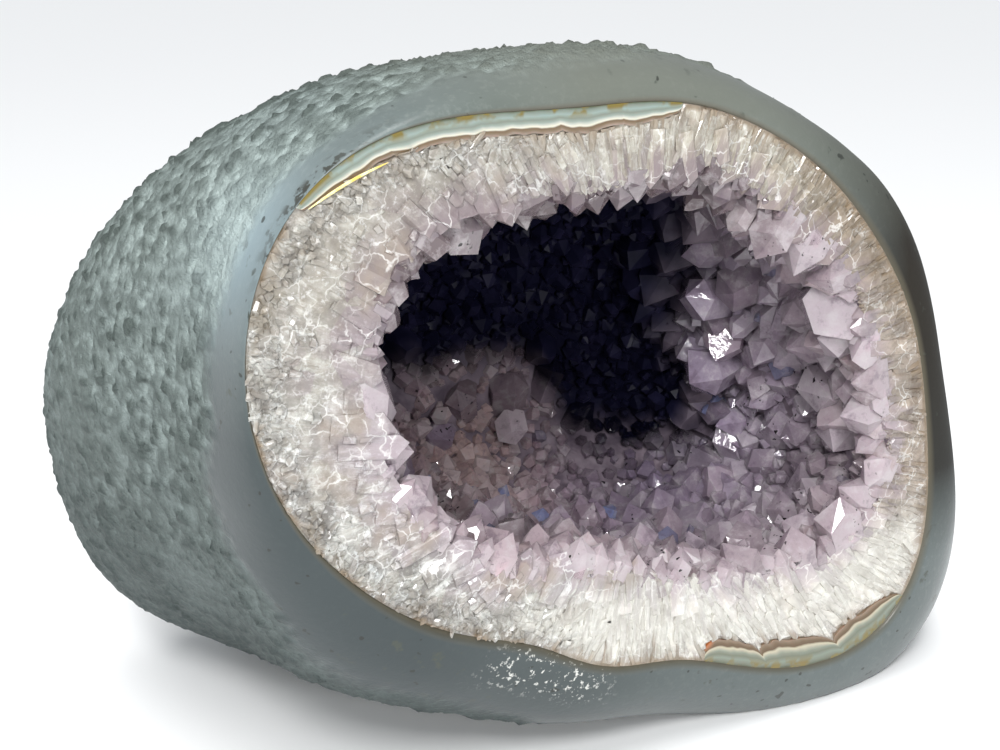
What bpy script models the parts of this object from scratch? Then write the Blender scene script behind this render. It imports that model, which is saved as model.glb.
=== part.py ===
"""Geode half: a hollow amethyst geode, cut flat across its front and ground flat underneath.

Z is up and the cut face looks along -Y. The stone is modelled about the middle of its opening, and
everything is moved at the end so that the origin lies under the middle of its bounding box.
"""
import math
import random

import bmesh
import bpy
import numpy as np
from mathutils import Matrix, Vector

MM = 0.001
GAP = 0.3 * MM                 # space left between pieces that touch
ANGLES = 60                    # steps round the stone
OUTER_STEPS = 18               # rows of points from the opening to the back of the outer skin
INNER_STEPS = 12               # the same for the boundary between rind and quartz
CAVITY_STEPS = 15              # the same for the hollow
CLOSE = 0.97                   # place of the last row, before a surface closes at its pole

# Radii about the middle of the opening, at equal angles from +X towards +Z.
OPENING = np.array([73, 66, 62, 61, 62, 67, 81, 83, 73, 60, 50, 47, 51, 62, 88, 85]) * MM
BULGE = np.array([89, 83, 75, 71, 72, 76, 83, 84, 80, 78, 73, 69, 72, 87, 116, 110]) * MM
CAVITY = np.array([61, 56, 51, 51, 49, 51, 58, 57, 51, 43, 34, 29, 31, 39, 55, 69]) * MM

BULGE_DEPTH = 25 * MM          # where the stone is widest, behind the cut face
STONE_DEPTH = 108 * MM
STONE_DRIFT = Vector((-46 * MM, 0, -29 * MM))   # how far the back lies to the left and down
CRUST = 7 * MM                 # thickness of the outer rind
BASE_CRUST = 5 * MM            # rind left over the ground base
BASE_Z = -76 * MM              # height of the ground base, from the middle of the opening

CAVITY_SWELL = 4 * MM          # the hollow is this much wider inside than at its mouth
CAVITY_BULGE_DEPTH = 22 * MM
CAVITY_DEPTH = 84 * MM
CAVITY_DRIFT = Vector((-22 * MM, 0, -17 * MM))
# Swellings of the hollow's wall: centre, reach, push.
MOUNDS = [
    (Vector((-14, 66, -24)) * MM, 26 * MM, Vector((8, -15, 7)) * MM),
    (Vector((58, 56, 8)) * MM, 22 * MM, Vector((-6, -2, 0)) * MM),
]

AGATE_END = 1 * MM             # thickness of an agate lens at its ends
# Agate lenses between rind and quartz: name, first and last angle step, thickness.
AGATE_BANDS = [("agate_band_upper", 14, 24, 4.2 * MM), ("agate_band_lower", 48, 54, 5.2 * MM)]

ROOT = 3 * MM                  # depth of a crystal's root in the quartz
RHOMB_FACE = math.radians(51.8)  # slope of a quartz crystal's tip faces from its cross-section
# Rows of crystal points: name, count, first and last angle in degrees, place from mouth (0) to
# back (1), radius and reach above the wall in millimetres, colour.
CRYSTAL_ROWS = [
    ("roof_edge_crystal", 8, 50, 137, 0.085, 3.6, 8.0, "amethyst_pale"),
    ("left_edge_crystal", 5, 152, 214, 0.085, 3.8, 7.5, "amethyst_pale"),
    ("floor_edge_crystal", 6, 238, 312, 0.085, 3.6, 6.0, "amethyst_pale"),
    ("right_edge_crystal", 4, -28, 26, 0.10, 4.8, 7.0, "amethyst_pale"),
    ("roof_crystal", 4, 58, 128, 0.34, 5.2, 9.0, "amethyst_violet"),
    ("left_wall_crystal", 3, 158, 204, 0.34, 5.0, 8.0, "amethyst_violet"),
    ("floor_crystal", 5, 242, 312, 0.36, 4.6, 7.5, "amethyst_violet"),
    ("right_wall_crystal", 5, -30, 40, 0.40, 6.0, 8.0, "amethyst_violet"),
    ("back_wall_crystal", 6, 10, 310, 0.74, 5.0, 7.0, "amethyst_violet"),
]

COLOURS = {
    "rind_stone": ((0.115, 0.140, 0.130), 0.55),
    "quartz": ((0.66, 0.62, 0.60), 0.35),
    "agate": ((0.60, 0.66, 0.60), 0.20),
    "amethyst_pale": ((0.55, 0.44, 0.56), 0.15),
    "amethyst_violet": ((0.22, 0.13, 0.33), 0.15),
}


def clear_scene():
    """Remove the objects of the startup scene."""
    for thing in list(bpy.data.objects):
        bpy.data.objects.remove(thing)


def make_materials():
    """One Principled material per finish."""
    finishes = {}
    for name, (colour, roughness) in COLOURS.items():
        finish = bpy.data.materials.new(name)
        finish.use_nodes = True
        shader = finish.node_tree.nodes["Principled BSDF"]
        shader.inputs["Base Color"].default_value = (*colour, 1)
        shader.inputs["Roughness"].default_value = roughness
        finishes[name] = finish
    return finishes


def ring(radii, angle):
    """The smooth closed curve through radii spaced equally round a turn, read at any angle."""
    waves = np.fft.rfft(radii) / len(radii)
    order = np.arange(len(waves))
    weight = np.where((order == 0) | (order == len(radii) // 2), 1.0, 2.0)
    return np.real(np.exp(1j * np.multiply.outer(angle, order)) @ (weight * waves))


def surface(angle, place, front, bulge, bulge_depth, depth, drift, rolled):
    """Points on a stone-like surface, from its front edge (place 0) to its back pole (place 1).

    The radius goes from front to bulge over the first 30 % and then closes like a superellipse.
    A rolled front leaves the edge along the cut face; one that isn't leaves it straight back.
    """
    angle, place = np.broadcast_arrays(angle, place)
    near = np.clip(place / 0.3, 0, 1) * math.pi / 2
    far = np.clip((place - 0.3) / 0.7, 0, 1) * math.pi / 2
    rise = np.sin(near) ** 0.9
    fall = 1 - np.cos(near) ** 0.9
    outward, backward = (rise, fall) if rolled else (fall, rise)
    y = bulge_depth * backward + (depth - bulge_depth) * np.sin(far) ** 0.74
    widest = ring(bulge, angle)
    edge = ring(front, angle)
    radius = np.where(place < 0.3, edge + (widest - edge) * outward, widest * np.cos(far) ** 0.74)
    lean = (y / depth) ** 2
    return np.stack([radius * np.cos(angle) + drift.x * lean, y,
                     radius * np.sin(angle) + drift.z * lean], axis=-1)


def outer_skin(angle, place):
    """The weathered outside of the stone."""
    return surface(angle, place, OPENING, BULGE, BULGE_DEPTH, STONE_DEPTH, STONE_DRIFT, True)


def crust_inside(angle, place, inset=0.0):
    """The boundary between rind and quartz, moved inwards by inset."""
    points = surface(angle, place, OPENING - inset, BULGE - CRUST - inset, BULGE_DEPTH,
                     STONE_DEPTH - CRUST - inset, STONE_DRIFT, False)
    points[..., 2] = np.maximum(points[..., 2], BASE_Z + BASE_CRUST + inset)
    return points


def cavity_wall(angle, place):
    """The wall of the hollow, with its mounds."""
    points = surface(angle, place, CAVITY, CAVITY + CAVITY_SWELL, CAVITY_BULGE_DEPTH,
                     CAVITY_DEPTH, CAVITY_DRIFT, False)
    for centre, reach, push in MOUNDS:
        far = np.sum((points - np.array(centre)) ** 2, axis=-1) / reach ** 2
        points = points + np.exp(-far)[..., None] * np.array(push)
    points[..., 1] = np.maximum(points[..., 1], 0)
    return points


def add_object(name, mesh, finish):
    """Link a mesh as an object with its material."""
    thing = bpy.data.objects.new(name, mesh)
    bpy.context.collection.objects.link(thing)
    mesh.materials.append(finish)
    return thing


def add_quad(built, a, b, c, d):
    """Two triangles that share the diagonal a-c, so that neighbouring pieces have the same facets."""
    built.faces.new((a, b, c))
    built.faces.new((a, c, d))


def add_cup(built, grid):
    """Add a cup of points, rows running from front to back, and return its front row of vertices."""
    rows = [[built.verts.new(p) for p in row] for row in grid]
    for front, back in zip(rows, rows[1:]):
        for i in range(ANGLES):
            j = (i + 1) % ANGLES
            add_quad(built, front[i], back[i], back[j], front[j])
    last = rows[-1]
    pole = built.verts.new(sum((v.co for v in last), Vector()) / ANGLES)
    for i in range(ANGLES):
        built.faces.new((last[i], last[(i + 1) % ANGLES], pole))
    return rows[0]


def skin_between(grid_outside, grid_inside):
    """A closed mesh between two cups of points, joined round their front edges."""
    built = bmesh.new()
    outside = add_cup(built, grid_outside)
    inside = add_cup(built, grid_inside)
    for i in range(ANGLES):
        j = (i + 1) % ANGLES
        add_quad(built, outside[i], outside[j], inside[j], inside[i])
    # Where both cups start from the same edge, the faces between them close up.
    bmesh.ops.remove_doubles(built, verts=outside + inside, dist=0.001 * MM)
    bmesh.ops.recalc_face_normals(built, faces=built.faces)
    return built


def cup(shape, steps, *values):
    """A grid of points on one of the surfaces, stopping just short of its back pole."""
    place, angle = np.meshgrid(np.linspace(0, CLOSE, steps),
                               np.arange(ANGLES) * math.tau / ANGLES, indexing="ij")
    return shape(angle, place, *values)


def finish_mesh(built, name):
    """Turn a bmesh into a mesh that is shaded smooth except at its sharp edges."""
    mesh = bpy.data.meshes.new(name)
    built.to_mesh(mesh)
    built.free()
    mesh.shade_smooth()
    mesh.set_sharp_from_angle(angle=math.radians(35))
    return mesh


def make_rind(finishes):
    """The outer rind: weathered skin, rolled lip round the opening and ground base."""
    built = skin_between(cup(outer_skin, OUTER_STEPS), cup(crust_inside, INNER_STEPS))
    cut = bmesh.ops.bisect_plane(built, geom=built.verts[:] + built.edges[:] + built.faces[:],
                                 plane_co=(0, 0, BASE_Z), plane_no=(0, 0, -1), clear_outer=True)
    rim = [e for e in cut["geom_cut"] if isinstance(e, bmesh.types.BMEdge)]
    bmesh.ops.contextual_create(built, geom=rim)
    bmesh.ops.recalc_face_normals(built, faces=built.faces)
    return add_object("rind", finish_mesh(built, "rind"), finishes["rind_stone"])


def agate_lens(first, last, thickness, grow=0.0):
    """A closed lens of agate against the inside of the rind, thin at both ends.

    It follows the facets of the rind from one angle step to another and one row deep. With grow
    it is larger by that much and stands out of the quartz, as a cutter.
    """
    angle = np.arange(first, last + 1) * math.tau / ANGLES
    share = np.linspace(0, 1, len(angle))
    thick = AGATE_END + (thickness - AGATE_END) * np.sin(math.pi * share) ** 0.6
    outer = crust_inside(angle[:, None], np.array([0, CLOSE / (INNER_STEPS - 1)]), GAP - grow * 4)
    inward = np.stack([-np.cos(angle), 0 * angle, -np.sin(angle)], axis=-1)
    inner = outer + inward[:, None, :] * (thick[:, None, None] * [[[1.0], [0.7]]] + grow * 5)
    for side in (outer, inner):
        side[:, 0, 1] -= grow
        side[:, 1, 1] += grow
    ends = grow * np.stack([-np.sin(angle), 0 * angle, np.cos(angle)], axis=-1)
    for side in (outer, inner):
        side[0] -= ends[0]
        side[-1] += ends[-1]
    built = bmesh.new()
    # Each cross-section is a closed loop: back along the rind, forward along the quartz.
    loops = [[built.verts.new(p) for p in (*a, *b[::-1])] for a, b in zip(outer, inner)]
    for here, after in zip(loops, loops[1:]):
        for i in range(len(here)):
            j = (i + 1) % len(here)
            add_quad(built, here[i], here[j], after[j], after[i])
    built.faces.new(loops[0])
    built.faces.new(loops[-1])
    bmesh.ops.recalc_face_normals(built, faces=built.faces)
    return built


def add_crystal(built, place, radius, reach, flat, twist, grow=0.0):
    """Add one quartz point to a bmesh: a six-sided prism under six tip faces.

    Three tip faces are large and three small. With grow the crystal is larger all round.
    """
    across = radius + grow
    top = reach + grow
    low = -ROOT - grow
    prism = bmesh.new()
    bmesh.ops.create_cone(prism, cap_ends=True, segments=6, radius1=across, radius2=across,
                          depth=top - low)
    bmesh.ops.translate(prism, verts=prism.verts, vec=(0, 0, (top + low) / 2))
    apothem = across * math.cos(math.pi / 6)
    for i in range(6):
        turn = math.pi / 6 + i * math.pi / 3
        normal = Vector((math.cos(turn) * math.sin(RHOMB_FACE), math.sin(turn) * math.sin(RHOMB_FACE),
                         math.cos(RHOMB_FACE)))
        # The large faces meet the prism lower down than the small ones.
        height = top - apothem * math.tan(RHOMB_FACE) * (1.0 if i % 2 == 0 else 0.78)
        meet = Vector((math.cos(turn) * apothem, math.sin(turn) * apothem, height))
        cut = bmesh.ops.bisect_plane(prism, geom=prism.verts[:] + prism.edges[:] + prism.faces[:],
                                     plane_co=meet, plane_no=normal, clear_outer=True)
        rim = [e for e in cut["geom_cut"] if isinstance(e, bmesh.types.BMEdge)]
        if len(rim) > 2:
            bmesh.ops.contextual_create(prism, geom=rim)
    bmesh.ops.remove_doubles(prism, verts=prism.verts, dist=0.01 * MM)
    bmesh.ops.dissolve_degenerate(prism, edges=prism.edges, dist=0.01 * MM)
    bmesh.ops.recalc_face_normals(prism, faces=prism.faces)
    bmesh.ops.transform(prism, verts=prism.verts,
                        matrix=place @ Matrix.Rotation(twist, 4, "Z") @ Matrix.Diagonal((flat, 1, 1, 1)))
    mesh = bpy.data.meshes.new("crystal")
    prism.to_mesh(mesh)
    prism.free()
    built.from_mesh(mesh)
    bpy.data.meshes.remove(mesh)


def wall_frame(angle, place, tilt):
    """A frame standing on the hollow's wall, with Z pointing off the wall plus a tilt."""
    step = 0.01
    here = cavity_wall(np.array([angle]), np.array([place]))[0]
    round_it = cavity_wall(np.array([angle + step]), np.array([place]))[0] - here
    inward = cavity_wall(np.array([angle]), np.array([place + step]))[0] - here
    normal = Vector(np.cross(inward, round_it)).normalized()
    middle = Vector((0, CAVITY_DEPTH * 0.4, 0))
    if normal.dot(middle - Vector(here)) < 0:
        normal.negate()
    normal = (normal + tilt).normalized()
    return Matrix.Translation(here) @ normal.to_track_quat("Z", "Y").to_matrix().to_4x4()


def crystal_plan():
    """Each crystal's name, frame, radius, reach, flatness, twist and colour."""
    draw = random.Random(7)
    plan = []
    for name, count, first, last, place, radius, reach, colour in CRYSTAL_ROWS:
        for i in range(count):
            share = i / (count - 1)
            angle = math.radians(first + (last - first) * share)
            size = draw.uniform(0.85, 1.1)
            deep = place * (1 + 0.25 * (i % 2)) + draw.uniform(-0.006, 0.006)
            tilt = Vector([draw.uniform(-0.18, 0.18) for _ in range(3)])
            tilt.y = abs(tilt.y)
            plan.append((f"{name}_{i + 1}", wall_frame(angle, deep, tilt), radius * size * MM,
                         reach * draw.uniform(0.85, 1.15) * MM, draw.uniform(0.85, 1.0),
                         draw.uniform(0, math.tau), colour))
    return plan


def make_cutter(built, name, target, finish):
    """Hide a closed mesh and subtract it from the target with a Boolean."""
    cutter = add_object(name, finish_mesh(built, name), finish)
    cutter.hide_render = True
    cutter.display_type = "WIRE"
    cut = target.modifiers.new(name, "BOOLEAN")
    cut.operation = "DIFFERENCE"
    cut.object = cutter
    return cutter


def build():
    """Build every piece and set the stone down on the origin."""
    clear_scene()
    finishes = make_materials()
    make_rind(finishes)

    body = skin_between(cup(crust_inside, INNER_STEPS, GAP), cup(cavity_wall, CAVITY_STEPS))
    quartz = add_object("quartz_layer", finish_mesh(body, "quartz_layer"), finishes["quartz"])

    for name, first, last, thickness in AGATE_BANDS:
        lens = agate_lens(first, last, thickness)
        add_object(name, finish_mesh(lens, name), finishes["agate"])
        make_cutter(agate_lens(first, last, thickness, GAP), name + "_bed", quartz,
                    finishes["agate"])

    sockets = bmesh.new()
    for name, place, radius, reach, flat, twist, colour in crystal_plan():
        point = bmesh.new()
        add_crystal(point, place, radius, reach, flat, twist)
        mesh = bpy.data.meshes.new(name)
        point.to_mesh(mesh)
        point.free()
        add_object(name, mesh, finishes[colour])
        add_crystal(sockets, place, radius, reach, flat, twist, grow=GAP * 1.2)
    make_cutter(sockets, "crystal_sockets", quartz, finishes["quartz"])

    rind = bpy.data.objects["rind"]
    corners = np.array([v.co for v in rind.data.vertices])
    low, high = corners.min(axis=0), corners.max(axis=0)
    shift = Vector((-(low[0] + high[0]) / 2, -(low[1] + high[1]) / 2, -low[2]))
    for thing in bpy.data.objects:
        thing.location += shift


build()
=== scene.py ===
"""Looks of the geode half: weathered rind, agate lenses, columnar quartz and amethyst points.

Every surface is worked out about the middle of the opening, in metres, from outlines that follow
those of the solids it stands for to within a few millimetres, and is then set down in their frame.
"""
import math

import bmesh
import bpy
import numpy as np
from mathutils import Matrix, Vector


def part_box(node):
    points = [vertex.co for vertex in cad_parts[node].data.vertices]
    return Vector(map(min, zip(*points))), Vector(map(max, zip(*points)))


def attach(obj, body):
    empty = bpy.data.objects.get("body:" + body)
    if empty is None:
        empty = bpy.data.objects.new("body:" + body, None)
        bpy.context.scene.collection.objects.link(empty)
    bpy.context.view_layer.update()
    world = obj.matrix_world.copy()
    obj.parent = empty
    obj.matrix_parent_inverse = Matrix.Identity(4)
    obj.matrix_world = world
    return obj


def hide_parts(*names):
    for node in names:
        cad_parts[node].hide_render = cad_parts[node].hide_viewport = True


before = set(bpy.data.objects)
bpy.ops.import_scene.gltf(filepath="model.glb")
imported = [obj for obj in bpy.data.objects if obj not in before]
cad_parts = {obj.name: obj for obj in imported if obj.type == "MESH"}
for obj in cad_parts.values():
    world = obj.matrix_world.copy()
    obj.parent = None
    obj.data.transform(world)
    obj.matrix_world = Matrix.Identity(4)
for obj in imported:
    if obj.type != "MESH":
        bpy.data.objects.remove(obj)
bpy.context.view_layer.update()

MM = 0.001
TURN = math.tau

# ---------------------------------------------------------------- outlines of the stone
# Radii about the middle of the opening, at equal angles from +X towards +Z. At its left top the hollow
# reaches 1 to 3 mm further than the solid's, a correction to its outline made after the solid.
OPENING = np.array([73, 66, 62, 61, 62, 67, 81, 83, 73, 60, 50, 47, 51, 62, 88, 85]) * MM
BULGE = np.array([89, 83, 75, 71, 72, 76, 83, 84, 80, 78, 73, 69, 72, 87, 116, 110]) * MM
CAVITY = np.array([61, 56, 51, 51, 49, 51, 60, 60, 52, 43, 34, 29, 31, 39, 55, 69]) * MM
BULGE_DEPTH = 25 * MM
STONE_DEPTH = 108 * MM
STONE_DRIFT = np.array([-46, 0, -29]) * MM
CRUST = 7 * MM
BASE_Z = -76 * MM
CAVITY_SWELL = 4 * MM
CAVITY_BULGE_DEPTH = 22 * MM
CAVITY_DEPTH = 84 * MM
CAVITY_DRIFT = np.array([-22, 0, -17]) * MM
NEAR_POLE = 0.985
# Where a cup is widest, as a place, and how round it turns there and towards its pole.
WIDEST_PLACE = 0.3
TURN_ROUNDNESS = 0.9
POLE_ROUNDNESS = 0.74
MOUNDS = [
    (np.array([-14, 66, -24]) * MM, 26 * MM, np.array([8, -15, 7]) * MM),
    (np.array([58, 56, 8]) * MM, 22 * MM, np.array([-6, -2, 0]) * MM),
]


def unit(vectors):
    """Vectors of length one."""
    return vectors / np.linalg.norm(vectors, axis=-1, keepdims=True)


def polar(points):
    """Angle and radius of points about the middle of the opening."""
    return (np.arctan2(points[..., 2], points[..., 0]), np.hypot(points[..., 0], points[..., 2]))


def towards_middle(angle, back=0.0):
    """The way to the middle of the opening from each angle, and backwards by a share."""
    return np.stack([-np.cos(angle), back + 0 * angle, -np.sin(angle)], axis=-1)


def ring(radii, angle):
    """The smooth closed curve through radii at equal angles: a sum of their Fourier waves."""
    waves = np.fft.rfft(radii) / len(radii)
    order = np.arange(len(waves))
    weight = np.where((order == 0) | (order == len(radii) // 2), 1.0, 2.0)
    return np.real(np.exp(1j * np.multiply.outer(angle, order)) @ (weight * waves))


def surface(angle, place, front, bulge, bulge_depth, depth, drift, rolled):
    """A stone-like cup: radius from front to bulge over the first 30 %, then a closing superellipse.

    place runs from the front edge (0) to the back pole (1). A rolled front leaves the edge along
    the cut face, one that isn't leaves it straight back, and the whole cup drifts sideways with the
    square of its depth.
    """
    angle, place = np.broadcast_arrays(angle, place)
    near = np.clip(place / WIDEST_PLACE, 0, 1) * math.pi / 2
    far = np.clip((place - WIDEST_PLACE) / (1 - WIDEST_PLACE), 0, 1) * math.pi / 2
    rise = np.sin(near) ** TURN_ROUNDNESS
    fall = 1 - np.cos(near) ** TURN_ROUNDNESS
    outward, backward = (rise, fall) if rolled else (fall, rise)
    y = bulge_depth * backward + (depth - bulge_depth) * np.sin(far) ** POLE_ROUNDNESS
    widest = ring(bulge, angle)
    edge = ring(front, angle)
    radius = np.where(place < WIDEST_PLACE, edge + (widest - edge) * outward,
                      widest * np.cos(far) ** POLE_ROUNDNESS)
    lean = (y / depth) ** 2
    return np.stack([radius * np.cos(angle) + drift[0] * lean, y,
                     radius * np.sin(angle) + drift[2] * lean], axis=-1)


def outer_skin(angle, place):
    """The weathered outside of the stone."""
    return surface(angle, place, OPENING, BULGE, BULGE_DEPTH, STONE_DEPTH, STONE_DRIFT, True)


def crust_inside(angle, place, inset=0.0):
    """The boundary between rind and quartz, moved inwards by inset."""
    return surface(angle, place, OPENING - inset, BULGE - CRUST - inset, BULGE_DEPTH,
                   STONE_DEPTH - CRUST - inset, STONE_DRIFT, False)


def cavity_wall(angle, place):
    """The wall of the hollow, with its mounds."""
    points = surface(angle, place, CAVITY, CAVITY + CAVITY_SWELL, CAVITY_BULGE_DEPTH,
                     CAVITY_DEPTH, CAVITY_DRIFT, False)
    for centre, reach, push in MOUNDS:
        far = np.sum((points - centre) ** 2, axis=-1) / reach ** 2
        points = points + np.exp(-far)[..., None] * push
    points[..., 1] = np.maximum(points[..., 1], 0)
    return points


def opening_middle():
    """Where the middle of the opening lies in the frame, from the rind's box."""
    place, angle = np.meshgrid(np.linspace(0, 0.97, 18), np.arange(60) * TURN / 60, indexing="ij")
    skin = outer_skin(angle, place)
    low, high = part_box("rind")
    x = (low.x + high.x) / 2 - (skin[..., 0].min() + skin[..., 0].max()) / 2
    return np.array([x, low.y, low.z - BASE_Z])


MIDDLE = opening_middle()


# ---------------------------------------------------------------- repeatable noise
def lattice(cell, seed):
    """A repeatable number from 0 to 1 for each whole-numbered point: the tail of a large sine."""
    wave = np.sin(cell @ np.array([127.1, 311.7, 74.7]) + seed * 17.31) * 43758.5453
    return wave - np.floor(wave)


def noise(points, size, seed=0):
    """Smooth noise from -1 to 1: lattice numbers blended over cells of one size."""
    scaled = points / size
    cell = np.floor(scaled)
    part = scaled - cell
    part = part * part * (3 - 2 * part)
    total = 0.0
    for corner in np.ndindex(2, 2, 2):
        weight = np.prod(np.where(np.array(corner) == 1, part, 1 - part), axis=-1)
        total = total + weight * lattice(cell + corner, seed)
    return total * 2 - 1


def step_up(value, low, high):
    """Zero below low, one above high, smooth between."""
    share = np.clip((value - low) / (high - low), 0, 1)
    return share * share * (3 - 2 * share)


# ---------------------------------------------------------------- meshes
def make_piece(name, points, faces, material, marks=None, smooth=False):
    """A mesh object at the origin, from points about the opening's middle and lists of faces.

    marks are numbers, or vectors, kept on the points for the material to read.
    """
    mesh = bpy.data.meshes.new(name)
    mesh.from_pydata((points + MIDDLE).tolist(), [], faces)
    for mark, values in (marks or {}).items():
        values = np.asarray(values, np.float32)
        kind, field = ("FLOAT", "value") if values.ndim == 1 else ("FLOAT_VECTOR", "vector")
        layer = mesh.attributes.new(mark, kind, "POINT")
        layer.data.foreach_set(field, values.ravel())
    if smooth:
        mesh.shade_smooth()
    mesh.materials.append(material)
    piece = bpy.data.objects.new(name, mesh)
    bpy.context.scene.collection.objects.link(piece)
    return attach(piece, "root")


def face_outwards(piece):
    """Turn the faces of a closed mesh outwards."""
    built = bmesh.new()
    built.from_mesh(piece.data)
    bmesh.ops.recalc_face_normals(built, faces=built.faces)
    built.to_mesh(piece.data)
    built.free()


def grid_faces(rows, columns):
    """Quads over a grid of rows and columns, closed across its columns."""
    row, column = np.meshgrid(np.arange(rows - 1), np.arange(columns), indexing="ij")
    here = row * columns + column
    beside = row * columns + (column + 1) % columns
    quads = np.stack([here, beside, beside + columns, here + columns], axis=-1)
    return quads.reshape(-1, 4).tolist()


def closed_cup(grid):
    """Points and faces of a grid that goes round a closed shape, with a pole at both ends."""
    rows, columns = grid.shape[:2]
    points = np.concatenate([grid.reshape(-1, 3), grid[[0, -1]].mean(axis=1)])
    faces = grid_faces(rows, columns)
    around = np.arange(columns)
    beside = (around + 1) % columns
    top = (rows - 1) * columns
    poles = np.full(columns, rows * columns)
    faces += np.stack([beside, around, poles], axis=-1).tolist()
    faces += np.stack([top + around, top + beside, poles + 1], axis=-1).tolist()
    return points, faces


def lengths_along(path):
    """How far along a path each of its points lies."""
    return np.concatenate([[0], np.cumsum(np.linalg.norm(np.diff(path, axis=0), axis=1))])


def equal_steps(shape, count, *values):
    """Places from a surface's front edge to near its pole, at equal distances along it."""
    fine = np.linspace(0, NEAR_POLE, 500)
    length = lengths_along(shape(np.full(500, math.pi), fine, *values))
    return np.interp(np.linspace(0, length[-1], count), length, fine)


def grid_of(shape, rows, columns, *values):
    """A grid of points on one of the surfaces, from its front edge to near its pole, with places."""
    place, angle = np.meshgrid(equal_steps(shape, rows, *values),
                               np.arange(columns) * TURN / columns, indexing="ij")
    return shape(angle, place, *values), angle, place


def normals_of(grid):
    """Unit normals of a wrapped grid: the cross product of its two directions."""
    along = np.gradient(grid, axis=0)
    around = np.roll(grid, -1, axis=1) - np.roll(grid, 1, axis=1)
    normal = np.cross(around, along)
    return normal / np.maximum(np.linalg.norm(normal, axis=-1, keepdims=True), 1e-12)


# ---------------------------------------------------------------- nodes
def fill(tree, made, values):
    """Give a node's sockets their values; a socket as a value is linked."""
    for key, value in (values or {}).items():
        if isinstance(value, bpy.types.NodeSocket):
            tree.links.new(value, made.inputs[key])
        else:
            made.inputs[key].default_value = value
    return made


def add_node(tree, kind, values=None, **settings):
    """Add a shader node with its settings and the values of its sockets."""
    made = tree.nodes.new("ShaderNode" + kind)
    for key, value in settings.items():
        setattr(made, key, value)
    return fill(tree, made, values)


def calc(tree, operation, a, b=0.0, clamp=False):
    """The result of one sum on two values."""
    return add_node(tree, "Math", {0: a, 1: b}, operation=operation, use_clamp=clamp).outputs[0]


def times(tree, a, b):
    """The product of two values."""
    return calc(tree, "MULTIPLY", a, b)


def blend(tree, share, a, b, kind="MIX"):
    """Colour a turned into colour b by a share."""
    mixed = add_node(tree, "Mix", {0: share, 6: a, 7: b}, data_type="RGBA", blend_type=kind)
    return mixed.outputs[2]


def layered(tree, colour, layers):
    """A colour with others laid over it in turn, each by its share and in its kind of blend."""
    for share, over, *kind in layers:
        colour = blend(tree, share, colour, over, *kind)
    return colour


def spread(tree, value, low, high, to_low=0.0, to_high=1.0):
    """A value moved from one range to another and held inside it."""
    return add_node(tree, "MapRange", {0: value, 1: low, 2: high, 3: to_low, 4: to_high}).outputs[0]


def speckle(tree, where, scale, detail=2.0, roughness=0.5):
    """A noise pattern of one scale, as a value."""
    values = {"Vector": where, "Scale": scale, "Detail": detail, "Roughness": roughness}
    return add_node(tree, "TexNoise", values).outputs[0]


def patches(tree, where, scale, detail, roughness, low, high, most=1.0):
    """A noise pattern cut at a level: zero below low, most above high."""
    return spread(tree, speckle(tree, where, scale, detail, roughness), low, high, 0.0, most)


def ramp(tree, share, stops):
    """A colour read from stops of place and colour."""
    made = add_node(tree, "ValToRGB", {0: share})
    points = made.color_ramp.elements
    while len(points) < len(stops):
        points.new(0.5)
    for point, (place, colour) in zip(points, stops):
        point.position = place
        point.color = (*colour, 1)
    return made.outputs[0]


def mark(tree, name):
    """A number kept on the points of the piece."""
    return add_node(tree, "Attribute", attribute_name=name).outputs["Fac"]


def new_group(name, inputs, outputs):
    """An empty node group with named inputs (kind, default) and outputs (kind)."""
    group = bpy.data.node_groups.new(name, "ShaderNodeTree")
    for title, (kind, default) in inputs.items():
        socket = group.interface.new_socket(title, in_out="INPUT", socket_type="NodeSocket" + kind)
        socket.default_value = default
    for title, kind in outputs.items():
        group.interface.new_socket(title, in_out="OUTPUT", socket_type="NodeSocket" + kind)
    return group, group.nodes.new("NodeGroupInput").outputs, group.nodes.new("NodeGroupOutput").inputs


def use_group(tree, group, values=None):
    """Place a node group in a material with its own values."""
    return add_node(tree, "Group", values, node_tree=group).outputs


def new_material(name, **sockets):
    """A Principled material with plain values set on its own sockets."""
    material = bpy.data.materials.new(name)
    material.use_nodes = True
    shader = material.node_tree.nodes["Principled BSDF"]
    for key, value in sockets.items():
        shader.inputs[key.replace("_", " ")].default_value = value
    return material, material.node_tree, shader


def place_of(tree):
    """Places on the piece, in metres."""
    return add_node(tree, "TexCoord").outputs["Object"]


def coordinates(tree):
    """The x, y and z of places on the piece, each as a value."""
    return list(add_node(tree, "SeparateXYZ", {0: place_of(tree)}).outputs)


# Where the hollow gets painted shade, near black: behind a depth, less a slope times the height,
# and above a level that changes over a span to the right.
PAINTED_SHADE_DEPTH = 0.048
PAINTED_SHADE_SLOPE = 0.55
PAINTED_SHADE_SPAN = (0.018, 0.030)
PAINTED_SHADE_LEVEL = (-0.010, -0.031)
PAINTED_SHADE_EDGE = (-0.006, 0.009)
FRONT = float(MIDDLE[1])
LEVEL = float(MIDDLE[2])


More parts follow.
